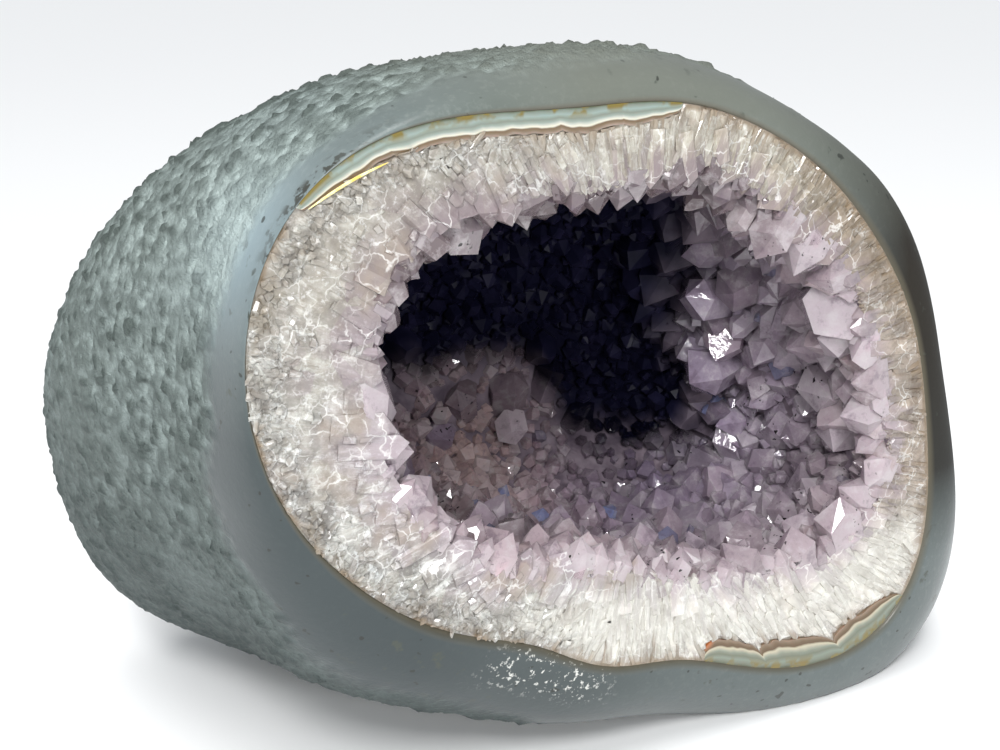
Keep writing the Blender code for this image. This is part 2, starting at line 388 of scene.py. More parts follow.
def facet_group():
    """Height of broken crystal: each cell of a Voronoi pattern is a small plane with its own slope."""
    group, given, result = new_group("broken_facets", {"Scale": ("Float", 400.0)},
                                     {"Height": "Float"})
    where = place_of(group)
    cells = add_node(group, "TexVoronoi", {"Vector": where, "Scale": given["Scale"]})
    scaled = add_node(group, "VectorMath", {0: where, 3: given["Scale"]}, operation="SCALE")
    centre = add_node(group, "VectorMath", {0: cells.outputs["Position"], 3: given["Scale"]},
                      operation="SCALE")
    inside = add_node(group, "VectorMath", {0: scaled.outputs[0], 1: centre.outputs[0]},
                      operation="SUBTRACT")
    slope = add_node(group, "VectorMath", {0: cells.outputs["Color"], 1: (0.5, 0.5, 0.5)},
                     operation="SUBTRACT")
    height = add_node(group, "VectorMath", {0: inside.outputs[0], 1: slope.outputs[0]},
                      operation="DOT_PRODUCT")
    group.links.new(height.outputs["Value"], result["Height"])
    return group


def painted_shade_group():
    """Painted shade in the hollow: 0 in the open, 1 at the back under the roof.

    It is one where a place lies behind a depth that shrinks with height, and also above a level
    that falls towards the right, as in_painted_shade says for whole crystals.
    """
    group, given, result = new_group("hollow_painted_shade", {"Soften": ("Float", 0.010)},
                                     {"Painted_Shade": "Float", "Depth": "Float"})
    across, deep, height = [calc(group, "SUBTRACT", part, float(middle))
                            for part, middle in zip(coordinates(group), MIDDLE)]
    soft = calc(group, "SUBTRACT", speckle(group, place_of(group), 90.0), 0.5)
    soft = times(group, soft, given["Soften"])
    behind = calc(group, "ADD", calc(group, "SUBTRACT", deep, PAINTED_SHADE_DEPTH),
                  times(group, calc(group, "MAXIMUM", height, 0.0), PAINTED_SHADE_SLOPE))
    above = calc(group, "SUBTRACT", height, spread(group, across, *PAINTED_SHADE_SPAN, *PAINTED_SHADE_LEVEL))
    shares = []
    for value in (behind, above):
        values = {0: calc(group, "ADD", value, soft), 1: PAINTED_SHADE_EDGE[0], 2: PAINTED_SHADE_EDGE[1]}
        share = add_node(group, "MapRange", values, interpolation_type="SMOOTHSTEP")
        shares.append(share.outputs[0])
    group.links.new(times(group, *shares), result["Painted_Shade"])
    group.links.new(spread(group, deep, 0.0, 0.055), result["Depth"])
    return group


FACETS = facet_group()
PAINTED_SHADE = painted_shade_group()


# ---------------------------------------------------------------- materials
def roughen(tree, shader, strength, distance, height):
    """Bend a shader's normals by a height over a distance in metres."""
    bump = add_node(tree, "Bump", {"Strength": strength, "Distance": distance, "Height": height})
    tree.links.new(bump.outputs[0], shader.inputs["Normal"])


def rind_material():
    """Weathered grey-green crust, stippled, and smooth and darker where the lip is polished."""
    material, tree, shader = new_material("weathered_rind", Coat_Roughness=0.22,
                                          Specular_IOR_Level=0.15)
    where = place_of(tree)
    x, y, z = coordinates(tree)
    polish = mark(tree, "polish")
    lift = mark(tree, "lift")
    # pale: a painted highlight, lighter round a spot at the upper left.
    pale = mark(tree, "pale")
    clouds = speckle(tree, where, 24.0, 4.0, 0.6)
    grains = speckle(tree, where, 700.0, 3.0, 0.65)
    # Partly the stone's own brown and partly painted shade: the right side near the lip faces away from
    # the light and is painted dark brown.
    right = times(tree, spread(tree, x, 0.024, 0.064, 0.0, 0.96), spread(tree, z, 0.030, 0.052))
    near_lip = spread(tree, y, FRONT + 0.050, FRONT + 0.025)
    olive = times(tree, spread(tree, z, 0.105, 0.135, 0.0, 0.75), spread(tree, x, -0.055, -0.015))
    # Painted shade: low darkens the rind towards the bottom, and shaded darkens it at the lower left.
    low = times(tree, spread(tree, z, 0.085, 0.020, 0.0, 0.8),
                spread(tree, x, 0.040, -0.020, 0.5, 1.0))
    shaded = times(tree, spread(tree, x, 0.0, -0.050, 0.0, 0.85), spread(tree, z, 0.122, 0.086))
    crust = ramp(tree, clouds, [(0.25, (0.155, 0.185, 0.170)), (0.5, (0.205, 0.245, 0.230)),
                                (0.75, (0.265, 0.315, 0.305))])
    crust = layered(tree, crust, [
        # Painted light and shade on the relief: its crests are painted lighter and its pits darker.
        (spread(tree, lift, 0.1, 1.0, 0.0, 0.7), (0.46, 0.54, 0.52, 1)),
        (spread(tree, lift, 0.0, -0.9, 0.0, 0.85), (0.062, 0.078, 0.070, 1)),
        (spread(tree, grains, 0.42, 0.68, 0.0, 0.38), (0.085, 0.105, 0.095, 1)),
        (times(tree, right, near_lip), (0.030, 0.025, 0.019, 1)),
        (olive, (0.165, 0.176, 0.150, 1)),
        (low, (0.066, 0.080, 0.080, 1)),
        (times(tree, shaded, 0.35), (0.080, 0.098, 0.098, 1)),
        (pale, (0.44, 0.53, 0.53, 1))])
    spots = times(tree, patches(tree, where, 230.0, 3.0, 0.6, 0.62, 0.68),
                  patches(tree, where, 34.0, 2.0, 0.5, 0.50, 0.60))
    dots = patches(tree, where, 430.0, 1.0, 0.5, 0.72, 0.75, 0.8)
    pitted = times(tree, patches(tree, where, 420.0, 3.0, 0.6, 0.50, 0.56, 0.9), mark(tree, "pits"))
    chipped = times(tree, mark(tree, "chips"), patches(tree, where, 760.0, 3.0, 0.7, 0.57, 0.64, 0.85))
    lip = ramp(tree, clouds, [(0.3, (0.095, 0.118, 0.114)), (0.7, (0.150, 0.178, 0.174))])
    lip = layered(tree, lip, [
        (spread(tree, grains, 0.52, 0.75, 0.0, 0.3), (0.26, 0.29, 0.27, 1)),
        # On the lip as on the crust: right partly painted shade, low and shaded painted shade, pale a
        # painted highlight.
        (right, (0.016, 0.012, 0.008, 1)),
        (olive, (0.125, 0.130, 0.105, 1)),
        (low, (0.040, 0.050, 0.052, 1)),
        (shaded, (0.028, 0.038, 0.041, 1)),
        (pale, (0.36, 0.47, 0.52, 1)),
        (spots, (0.050, 0.058, 0.048, 1)),
        (dots, (0.020, 0.022, 0.018, 1)),
        (pitted, (0.030, 0.027, 0.018, 1)),
        (chipped, (0.70, 0.70, 0.66, 1))])
    colour = blend(tree, polish, crust, lip)
    colour = blend(tree, mark(tree, "seam"), colour, (0.095, 0.085, 0.060, 1))
    tree.links.new(colour, shader.inputs["Base Color"])
    dull = spread(tree, grains, 0.3, 0.7, 0.50, 0.72)
    polished = spread(tree, right, 0.0, 1.0, 0.34, 0.80)
    shine = add_node(tree, "Mix", {0: polish, 2: dull, 3: polished}, data_type="FLOAT")
    tree.links.new(shine.outputs[0], shader.inputs["Roughness"])
    strength = spread(tree, polish, 0.0, 1.0, 1.0, 0.06)
    roughen(tree, shader, strength, 0.0016, speckle(tree, where, 560.0, 4.0, 0.7))
    coat = times(tree, polish, spread(tree, right, 0.0, 1.0, 0.4, 0.05))
    tree.links.new(coat, shader.inputs["Coat Weight"])
    return material


def quartz_material():
    """Milky cut quartz: columns that run from the rind to the hollow, cloudy and veined.

    The grain mark runs round the stone and, stretched, across the layer, so that cells of a Voronoi
    pattern on it come out as columns.
    """
    material, tree, shader = new_material("milky_quartz", Roughness=0.16, IOR=1.54,
                                          Transmission_Weight=0.18, Subsurface_Weight=0.35,
                                          Subsurface_Scale=0.003,
                                          Subsurface_Radius=(1.0, 0.9, 0.9))
    where = place_of(tree)
    grain = add_node(tree, "Attribute", attribute_name="grain").outputs["Vector"]
    inward = mark(tree, "inward")
    left = mark(tree, "left")
    right = mark(tree, "right")
    columns = add_node(tree, "TexVoronoi", {"Vector": grain, "Scale": 620.0, "Randomness": 0.9})
    column = add_node(tree, "SeparateColor", {0: columns.outputs["Color"]})
    blocks = add_node(tree, "TexVoronoi", {"Vector": where, "Scale": 210.0})
    block = add_node(tree, "SeparateColor", {0: blocks.outputs["Color"]})
    cell = add_node(tree, "Mix", {0: times(tree, left, 0.8), 2: column.outputs[0],
                                  3: block.outputs[0]}, data_type="FLOAT").outputs[0]
    clouds = speckle(tree, where, 150.0, 5.0, 0.72)
    needles = speckle(tree, grain, 900.0, 4.0, 0.75)
    brown = blend(tree, spread(tree, clouds, 0.38, 0.66), (0.20, 0.15, 0.11, 1),
                  (0.62, 0.53, 0.45, 1))
    patch = patches(tree, where, 75.0, 2.0, 0.5, 0.42, 0.60)
    grime = spread(tree, speckle(tree, where, 330.0, 3.0, 0.7), 0.42, 0.56, 0.10, 0.95)
    grime = times(tree, times(tree, left, spread(tree, patch, 0.0, 1.0, 1.0, 0.5)), grime)
    crisp = times(tree, patches(tree, where, 520.0, 4.0, 0.75, 0.56, 0.64, 0.85),
                  spread(tree, patch, 0.0, 1.0, 0.35, 1.0))
    dirt = times(tree, patches(tree, where, 110.0, 3.0, 0.6, 0.52, 0.60, 0.8),
                 spread(tree, inward, 0.30, 0.10))
    lilac = spread(tree, calc(tree, "ADD", inward, times(tree, cell, 0.4)), 0.65, 1.25, 0.0, 0.8)
    x, _, z = coordinates(tree)
    # Painted shade: high on the face, under the roof, the lilac is painted darker.
    upper = spread(tree, z, LEVEL + 0.006, LEVEL + 0.036)
    corner = times(tree, upper, spread(tree, x, -0.02, 0.03))
    lilac_with_painted_shade = blend(tree, upper, (0.42, 0.345, 0.385, 1), (0.24, 0.185, 0.205, 1))
    bent = add_node(tree, "TexNoise", {"Vector": where, "Scale": 240.0, "Detail": 3.0})
    bent = add_node(tree, "VectorMath", {0: bent.outputs["Color"], 3: 0.006}, operation="SCALE")
    bent = add_node(tree, "VectorMath", {0: where, 1: bent.outputs[0]}, operation="ADD").outputs[0]
    veins = add_node(tree, "TexVoronoi", {"Vector": bent, "Scale": 230.0}, feature="DISTANCE_TO_EDGE")
    shown = times(tree, spread(tree, veins.outputs["Distance"], 0.05, 0.012),
                  spread(tree, clouds, 0.42, 0.62, 0.0, 0.6))
    milk = ramp(tree, clouds, [(0.32, (0.30, 0.26, 0.22)), (0.44, (0.56, 0.53, 0.47)),
                               (0.56, (0.75, 0.73, 0.66)), (0.70, (0.95, 0.94, 0.89))])
    milk = layered(tree, milk, [
        (spread(tree, cell, 0.3, 1.0, 0.0, 0.65), (0.40, 0.35, 0.33, 1)),
        (spread(tree, needles, 0.48, 0.36, 0.0, 0.6), (0.36, 0.31, 0.26, 1)),
        (spread(tree, needles, 0.54, 0.64, 0.0, 0.7), (0.98, 0.96, 0.91, 1)),
        (times(tree, right, 0.95), brown),
        (times(tree, grime, 0.85), (0.24, 0.22, 0.20, 1)),
        (times(tree, crisp, left), (1.0, 1.0, 0.98, 1)),
        (times(tree, dirt, left), (0.30, 0.25, 0.19, 1)),
        (times(tree, upper, 0.30), (0.42, 0.36, 0.27, 1)),
        (left, (0.80, 0.81, 0.82, 1), "MULTIPLY"),
        (right, (0.86, 0.84, 0.82, 1), "MULTIPLY"),
        (corner, (0.78, 0.75, 0.70, 1), "MULTIPLY"),
        (lilac, lilac_with_painted_shade),
        (patches(tree, where, 80.0, 3.0, 0.6, 0.54, 0.66, 0.7), (0.34, 0.28, 0.23, 1)),
        (shown, (0.98, 0.97, 0.94, 1)),
        # Painted light on the low part of the cut face.
        (mark(tree, "painted_light_low"), (1.0, 0.97, 0.88, 1)),
        (mark(tree, "warm"), (0.26, 0.19, 0.12, 1))])
    tree.links.new(milk, shader.inputs["Base Color"])
    facets = use_group(tree, FACETS, {"Scale": 650.0})
    roughen(tree, shader, 0.35, 0.0005, facets["Height"])
    return material


def amethyst_material(name, marked):
    """Glassy amethyst: pale at the mouth, violet inside and, as painted shade, near black at the back.

    A marked piece also says how near its tip, how warm, how light and how dim each place is;
    dim adds painted shade, and below zero takes it away as painted light.
    """
    material, tree, shader = new_material(name, Roughness=0.05, IOR=1.54,
                                          Transmission_Weight=0.55, Subsurface_Weight=0.2,
                                          Subsurface_Scale=0.003,
                                          Subsurface_Radius=(1.0, 0.8, 1.0))
    where = place_of(tree)
    hollow = use_group(tree, PAINTED_SHADE)
    wisps = speckle(tree, where, 210.0, 5.0, 0.7)
    tip = mark(tree, "tip") if marked else spread(tree, wisps, 0.35, 0.65, 0.4, 0.9)
    warm = mark(tree, "warm") if marked else 0.15
    chance = mark(tree, "chance") if marked else speckle(tree, where, 45.0, 0.0)
    # Painted shade: near black at the back of the hollow, with a marked piece's dim added to it.
    painted_shade = hollow["Painted_Shade"]
    if marked:
        painted_shade = calc(tree, "ADD", painted_shade, mark(tree, "dim"), clamp=True)
    pale = blend(tree, tip, (0.82, 0.71, 0.75, 1), (0.68, 0.55, 0.60, 1))
    violet = blend(tree, tip, (0.52, 0.43, 0.58, 1), (0.40, 0.32, 0.48, 1))
    x, _, z = coordinates(tree)
    # Painted shade: crystals high under the roof of the hollow are painted dark, less so to the right.
    roof = times(tree, spread(tree, z, LEVEL + 0.018, LEVEL + 0.036, 0.0, 0.9),
                 spread(tree, x, 0.034, 0.014, 0.25, 1.0))
    # Painted reflection: a few crystals, chosen by chance and more the deeper they lie, are painted
    # blue.
    blue = times(tree, spread(tree, chance, 0.025, 0.015, 0.0, 0.7), hollow["Depth"])
    soot = times(tree, patches(tree, where, 800.0, 1.0, 0.5, 0.68, 0.71),
                 patches(tree, where, 60.0, 1.0, 0.5, 0.56, 0.62))
    body = layered(tree, blend(tree, hollow["Depth"], pale, violet), [
        (warm, (0.88, 0.62, 0.56, 1)),
        (roof, (0.190, 0.140, 0.148, 1)),
        (spread(tree, chance, 0.55, 1.0, 0.0, 0.5), (0.82, 0.74, 0.78, 1)),
        (spread(tree, chance, 0.45, 0.0, 0.0, 0.6), (0.22, 0.17, 0.18, 1)),
        (blue, (0.30, 0.40, 0.78, 1)),
        (spread(tree, wisps, 0.50, 0.66, 0.0, 0.55), (0.92, 0.86, 0.88, 1)),
        (spread(tree, wisps, 0.46, 0.34, 0.0, 0.5), (0.22, 0.16, 0.22, 1)),
        (soot, (0.015, 0.012, 0.012, 1)),
        (painted_shade, (0.006, 0.006, 0.018, 1))])
    tree.links.new(body, shader.inputs["Base Color"])
    roughen(tree, shader, 0.14, 0.0006, speckle(tree, where, 420.0, 3.0))
    return material


def dull_amethyst_material(name, light):
    """Amethyst seen from above its roots: dull violet between the points, painted shade near black at
    the back.
    """
    material, tree, shader = new_material(name, Roughness=0.35, Specular_IOR_Level=0.07)
    where = place_of(tree)
    painted_shade = use_group(tree, PAINTED_SHADE)["Painted_Shade"]
    wisps = speckle(tree, where, 150.0, 3.0, 0.6)
    body = blend(tree, spread(tree, wisps, 0.35, 0.65), (0.09, 0.07, 0.09, 1), (0.20, 0.16, 0.19, 1))
    # Painted shade: near black where the hollow's painted shade falls; light is the lighter of its two
    # colours.
    dark = blend(tree, spread(tree, wisps, 0.45, 0.75), (0.005, 0.005, 0.015, 1), light)
    tree.links.new(blend(tree, painted_shade, body, dark), shader.inputs["Base Color"])
    return material


# Where iron has stained the lower agate's left end, from the middle of the opening.
ORANGE_SPOT = np.array([17.8, 0, -50.0]) * MM


def agate_material():
    """Banded agate: olive at the rind, pale blue-green, a white edge and a thin brown inner line."""
    material, tree, shader = new_material("banded_agate", Roughness=0.14, IOR=1.54,
                                          Subsurface_Weight=0.2, Subsurface_Scale=0.002)
    where = place_of(tree)
    across = mark(tree, "across")
    wander = calc(tree, "SUBTRACT", speckle(tree, where, 150.0, 3.0), 0.5)
    share = calc(tree, "ADD", across, times(tree, wander, 0.22))
    bands = ramp(tree, share, [
        (0.00, (0.09, 0.10, 0.065)), (0.08, (0.19, 0.23, 0.20)), (0.26, (0.28, 0.36, 0.35)),
        (0.42, (0.20, 0.24, 0.21)), (0.54, (0.27, 0.33, 0.31)), (0.63, (0.46, 0.50, 0.47)),
        (0.71, (0.68, 0.67, 0.59)), (0.78, (0.14, 0.09, 0.045)), (0.88, (0.19, 0.135, 0.085)),
        (1.00, (0.33, 0.26, 0.22))])
    low = spread(tree, coordinates(tree)[2], 0.080, 0.040, 0.45, 1.0)
    spot = tuple(MIDDLE + ORANGE_SPOT)
    orange = add_node(tree, "VectorMath", {0: where, 1: spot}, operation="DISTANCE")
    stained = times(tree, patches(tree, where, 200.0, 3.0, 0.5, 0.47, 0.54),
                    spread(tree, across, 0.12, 0.42, 1.0, 0.0))
    bands = layered(tree, bands, [
        (low, (0.68, 0.62, 0.51, 1), "MULTIPLY"),
        (spread(tree, orange.outputs["Value"], 0.0028, 0.0016), (0.36, 0.12, 0.04, 1)),
        (stained, (0.17, 0.13, 0.035, 1))])
    tree.links.new(bands, shader.inputs["Base Color"])
    return material


RIND = rind_material()
QUARTZ = quartz_material()
POINTS = amethyst_material("amethyst_points", True)
SINGLES = amethyst_material("amethyst_crystal", False)
WALL = dull_amethyst_material("amethyst_bed", (0.010, 0.010, 0.026, 1))
# The material of whole crystals that lie in the painted shade at the back of the hollow.
AMETHYST_IN_PAINTED_SHADE = dull_amethyst_material("amethyst_in_painted_shade", (0.013, 0.012, 0.032, 1))
AGATE = agate_material()


# ---------------------------------------------------------------- rind
# How far over the edge the polish reaches, at equal angles from +X towards +Z, as places.
POLISHED = np.array([25, 22, 17, 14, 12, 12, 14, 17, 18, 16, 13, 14, 20, 25, 25, 25]) / 100


RIND_ROWS = 198
RIND_COLUMNS = 470
INSIDE_ROWS = 10
LEFT_FINER = 0.32
# In degrees: where chips dot the low rim, and the middle and reach of the pits in the left top rim.
CHIPPED = (228, 238, 256, 268)
PITTED = (141, 9)
# Where the painted highlight at the upper left of the rind lies, and how far it reaches.
PAINTED_HIGHLIGHT_SPOT = np.array([-78, 12, 46]) * MM
PAINTED_HIGHLIGHT_REACH = 15 * MM


def make_rind():
    """The rind: its outer skin moved along its normals by lumps, knobs and long wrinkles.

    Knobs are noise with its tops held flat. The move is zero on the polished lip and grows over
    its edge; the underside is ground flat. The grid is finest at the left, where the relief shows.
    """
    _, angle, place = grid_of(outer_skin, RIND_ROWS, RIND_COLUMNS)
    angle = angle + LEFT_FINER * np.sin(angle)
    skin = outer_skin(angle, place)
    normal = normals_of(skin)
    edge = place + 0.035 * noise(skin, 12 * MM, 3)
    polish = 1 - step_up(edge, ring(POLISHED, angle), ring(POLISHED, angle) + 0.07)
    lumps = 0.9 * noise(skin, 26 * MM, 1) + 0.35 * noise(skin, 9 * MM, 2)
    knobbly = step_up(noise(skin, 16 * MM, 4) + 0.8 * np.sin(angle - 0.6), -0.7, 0.6)
    knobs = (0.9 * step_up(noise(skin, 1.5 * MM, 5), -0.2, 0.5)
             + 0.7 * step_up(noise(skin, 1.1 * MM, 6), 0, 0.6)
             - 1.5 * step_up(noise(skin, 1.9 * MM, 9), 0.3, 0.7)) - 0.45
    flow = np.stack([angle * 52 + place * 26, place * 12, 0 * place], axis=-1)
    flow = flow + 0.9 * noise(skin, 6 * MM, 8)[..., None]
    wrinkles = 1.7 * (1 - 2 * np.abs(noise(flow, 1.0, 7))) - 1
    wrinkled = step_up(-np.sin(angle + 0.5), -0.1, 0.5) * (1 - step_up(place, 0.45, 0.65))
    wrinkled = wrinkled * (1 - 0.85 * knobbly) * step_up(-np.cos(angle), -0.2, 0.2)
    lift = 0.50 * knobs * (0.18 + 0.82 * knobbly) * (1 - 0.4 * step_up(place, 0.4, 0.6))
    lift = lift + 0.28 * wrinkles * wrinkled
    lift = lift + 0.10 * noise(skin, 1.3 * MM, 10)
    move = (lumps * step_up(place, 0.05, 0.4) + lift * (1 - polish)) * MM
    skin = skin + normal * move[..., None]
    behind_lip = grid_of(crust_inside, INSIDE_ROWS, RIND_COLUMNS)[2][1:]
    inside = crust_inside(angle[:INSIDE_ROWS - 1], behind_lip)
    grid = np.concatenate([skin[::-1], inside])
    grid[..., 2] = np.maximum(grid[..., 2], BASE_Z)
    round_rim = np.degrees(angle) % 360
    chips = (step_up(round_rim, *CHIPPED[:2]) * (1 - step_up(round_rim, *CHIPPED[2:]))
             * (1 - step_up(place, 0.05, 0.1)))
    # A painted highlight round a spot at the upper left, kept as the pale mark.
    pale = 0.6 * np.exp(-np.sum((skin - PAINTED_HIGHLIGHT_SPOT) ** 2, axis=-1) / PAINTED_HIGHLIGHT_REACH ** 2)
    pits = (np.exp(-((round_rim - PITTED[0]) / PITTED[1]) ** 2) * step_up(place, 0.01, 0.03)
            * (1 - step_up(place, 0.08, 0.12)))
    marks = {}
    # lift also sets the painted light on the relief's crests and the painted shade in its pits.
    for name, values in (("polish", polish), ("lift", 2.4 * lift), ("chips", chips), ("pits", pits),
                         ("pale", pale), ("seam", 1 - step_up(place, 0.002, 0.008))):
        behind = np.broadcast_to(values[:1], (len(inside), RIND_COLUMNS))
        marks[name] = np.concatenate([values[::-1].ravel(), behind.ravel(), [0, 0]])
    points, faces = closed_cup(grid)
    piece = make_piece("rind_skin", points, faces, RIND, marks, smooth=True)
    face_outwards(piece)
    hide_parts("rind")


# ---------------------------------------------------------------- agate lenses
# Name, CAD node, first and last angle, thickness, number of lobes and how deep the cusps between are.
AGATE_LENSES = [("agate_lens_upper", "agate_band_upper", 84, 144, 4.2 * MM, 5, 0.18),
                ("agate_lens_lower", "agate_band_lower", 288, 324, 9.0 * MM, 3, 0.62)]


LENS_ROWS = 9
LENS_BACK_ROWS = 4
LENS_DEPTH = 9 * MM


def lens_profile(share, thickness, lobes, cusp):
    """Thickness along a lens: a swelling arch, pinched between its lobes."""
    arch = np.sin(math.pi * share) ** 0.35
    lobe = np.abs(np.sin(math.pi * lobes * share)) ** 0.35
    return thickness * arch * (1 - cusp + cusp * lobe)


def lens_thickness(degrees):
    """Thickness of agate at each angle, zero where there is none."""
    total = 0 * degrees
    for _, _, first, last, thickness, lobes, cusp in AGATE_LENSES:
        share = np.clip((degrees - first) / (last - first), 0, 1)
        total = total + lens_profile(share, thickness, lobes, cusp)
    return total


def make_agate(name, node, first, last, thickness, lobes, cusp):
    """A lens of agate: across it the radius falls from the rind by a thickness with a wavy edge."""
    count = int((last - first) * 6)
    angle = np.radians(np.linspace(first, last, count))
    share = np.linspace(0, 1, count)
    outer = crust_inside(angle, np.zeros(count), 0.05 * MM)
    waves = noise(outer, 5 * MM, 31) + 0.5 * noise(outer, 2 * MM, 32)
    thick = (0.5 * MM + lens_profile(share, thickness, lobes, cusp)) * (1 + 0.12 * waves)
    across = np.concatenate([np.linspace(0, 1, LENS_ROWS), np.linspace(1, 0, LENS_BACK_ROWS)])
    depth = np.concatenate([np.zeros(LENS_ROWS), np.full(LENS_BACK_ROWS, LENS_DEPTH)])
    inward = towards_middle(angle)
    grid = outer[None] + inward[None] * (across[:, None] * thick[None])[..., None]
    grid[..., 1] += depth[:, None]
    grid[:LENS_ROWS, :, 1] -= 0.12 * MM * np.sin(math.pi * across[:LENS_ROWS])[:, None]
    rows = grid.transpose(1, 0, 2)
    section = len(across)
    faces = grid_faces(count, section)
    faces += [list(range(section)), list(range((count - 1) * section, count * section))]
    piece = make_piece(name, rows.reshape(-1, 3), faces, AGATE,
                       {"across": np.tile(across, count)})
    face_outwards(piece)
    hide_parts(node)


# ---------------------------------------------------------------- quartz
# How far round the stone the grain of the quartz runs, and how much it is stretched inwards.
GRAIN_SPAN = 65 * MM
GRAIN_SQUEEZE = 0.24


def on_left(angle):
    """How far to the left of the opening an angle lies, from 0 to 1."""
    return step_up(-np.cos(angle), 0.1, 0.7)


def quartz_marks(points, inward):
    """What the quartz material reads: its grain, how far inward, left, right and low it lies, and the
    painted light low on the face.
    """
    angle, radius = polar(points)
    across = ring(OPENING, angle) - radius
    grain = np.stack([GRAIN_SPAN * np.cos(angle), across * GRAIN_SQUEEZE + 0.3 * points[:, 1],
                      GRAIN_SPAN * np.sin(angle)], axis=1)
    lens = lens_thickness(np.degrees(angle) % 360)
    seam = across - lens - 0.4 * MM + 0.35 * MM * noise(points, 2.2 * MM, 44)
    low = step_up(-points[:, 2], 26 * MM, 42 * MM)
    high = step_up(across - lens, 1.5 * MM, 4 * MM)
    left = on_left(angle)
    pale_rim = step_up(noise(points, 4 * MM, 46), -0.3, 0.2)
    return {"grain": grain, "inward": inward, "left": left,
            "right": step_up(np.cos(angle), 0.45, 0.85) * (1 - 0.75 * low),
            # Painted light: the low part of the cut face, away from the agate and the hollow, is
            # painted lighter.
            "painted_light_low": 0.50 * low * high * (1 - step_up(inward, 0.6, 1.0)),
            "warm": 0.8 * (1 - step_up(seam, 0.0, 0.9 * MM)) * (1 - left * pale_rim)}


BED_COLUMNS = 420
BEHIND_ROWS = 8
FACE_ROWS = 44
WALL_ROWS = 90


def make_quartz_bed():
    """The quartz layer: cut face and hollow wall, closed behind by the boundary with the rind.

    Each wall point moves by fine noise, and the cut face has a slight grain.
    """
    angle = np.arange(BED_COLUMNS) * TURN / BED_COLUMNS
    behind = grid_of(crust_inside, BEHIND_ROWS, BED_COLUMNS, 0.1 * MM)[0][::-1]
    behind[..., 2] = np.maximum(behind[..., 2], BASE_Z + 4 * MM)
    wall = grid_of(cavity_wall, WALL_ROWS, BED_COLUMNS)[0]
    rim = crust_inside(angle, np.zeros(BED_COLUMNS), 0.1 * MM)
    share = np.linspace(0, 1, FACE_ROWS + 2)[1:-1]
    face = rim[None] + (wall[0] - rim)[None] * share[:, None, None]
    lens = lens_thickness(np.degrees(angle))
    across = np.linalg.norm(face - rim[None], axis=-1)
    sunk = (lens > 0.2 * MM) & (across < lens * 1.1 + 0.5 * MM)
    face[..., 1] += np.where(sunk, 0.6 * MM, 0.18 * MM * (1 + noise(face, 1.6 * MM, 41)))
    wall = wall + normals_of(wall) * (0.5 * MM * noise(wall, 3 * MM, 42))[..., None]
    wall[..., 1] = np.maximum(wall[..., 1], 0.1 * MM)
    grid = np.concatenate([behind, face, wall])
    inward = np.concatenate([np.zeros(len(behind)), share, np.ones(len(wall))])
    points, faces = closed_cup(grid)
    inward = np.append(np.repeat(inward, BED_COLUMNS), [0, 1])
    piece = make_piece("quartz_bed", points, faces, QUARTZ, quartz_marks(points, inward))
    piece.data.materials.append(WALL)
    first = (BEHIND_ROWS + FACE_ROWS) * BED_COLUMNS
    lowest = np.array([min(face) for face in faces])
    piece.data.polygons.foreach_set("material_index", np.where(lowest >= first, 1, 0))
    face_outwards(piece)
    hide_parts("quartz_layer")


def inside_rim(points):
    """Points moved towards the middle until they lie clear of the rind and the agate.

    On the left a few chips of quartz reach over the rind's edge.
    """
    angle, radius = polar(points)
    most = ring(OPENING, angle) - 0.3 * MM - 1.05 * lens_thickness(np.degrees(angle) % 360)
    over = step_up(-np.cos(angle), 0.2, 0.7) * step_up(noise(points, 2.6 * MM, 45), 0.0, 0.5)
    most = most + np.maximum(points[..., 1] - 2 * MM, 0) + 1.2 * MM * over * (points[..., 1] < 0)
    scale = np.minimum(1, most / np.maximum(radius, MM))
    return points * np.stack([scale, np.ones_like(scale), scale], axis=-1)


# The faces of one crystal point: six sides, six tip faces and its root.
SIDES = [[i, (i + 1) % 6, 6 + (i + 1) % 6, 6 + i] for i in range(6)]
TIPS = [[6 + i, 6 + (i + 1) % 6, 12] for i in range(6)]
ROOT = [[5, 4, 3, 2, 1, 0]]
TIP_MARK = np.array([0.0] * 6 + [0.55] * 6 + [1.0])
CRYSTAL_POINTS = len(TIP_MARK)


def crystals(base, axis, radius, reach, root, draw, steep=1.0, taper=0.92, slant=0.3):
    """Thirteen points for each crystal, standing on base along axis.

    A six-sided prism runs from root below the base to its shoulder; three shoulders are lower than
    the other three, and the tip stands off the middle, so that no two tips have the same faces.
    """
    count = len(base)
    side = unit(np.cross(axis, draw.normal(size=(count, 3))))
    other = np.cross(axis, side)
    turn = np.arange(6) * math.pi / 3
    flat = draw.uniform(0.78, 1.0, count)
    wide = radius[:, None] * np.cos(turn) * flat[:, None]
    deep = radius[:, None] * np.sin(turn)
    peak = radius * draw.uniform(0.95, 1.3, count) * steep
    zigzag = np.where(np.arange(6) % 2 == 0, 1.0, 0.72)
    shoulder = reach[:, None] - peak[:, None] * zigzag * draw.uniform(0.85, 1.1, (count, 6))
    shoulder = np.maximum(shoulder, -0.5 * root[:, None])

    def ring_points(scale, height):
        across = (wide * scale)[..., None] * side[:, None] + (deep * scale)[..., None] * other[:, None]
        return base[:, None] + across + height[..., None] * axis[:, None]

    low = ring_points(taper, np.repeat(-root[:, None], 6, axis=1))
    high = ring_points(1.0, shoulder)
    off = draw.uniform(-slant, slant, (count, 2)) * radius[:, None]
    tip = base + off[:, :1] * side + off[:, 1:] * other + reach[:, None] * axis
    return np.concatenate([low, high, tip[:, None]], axis=1)


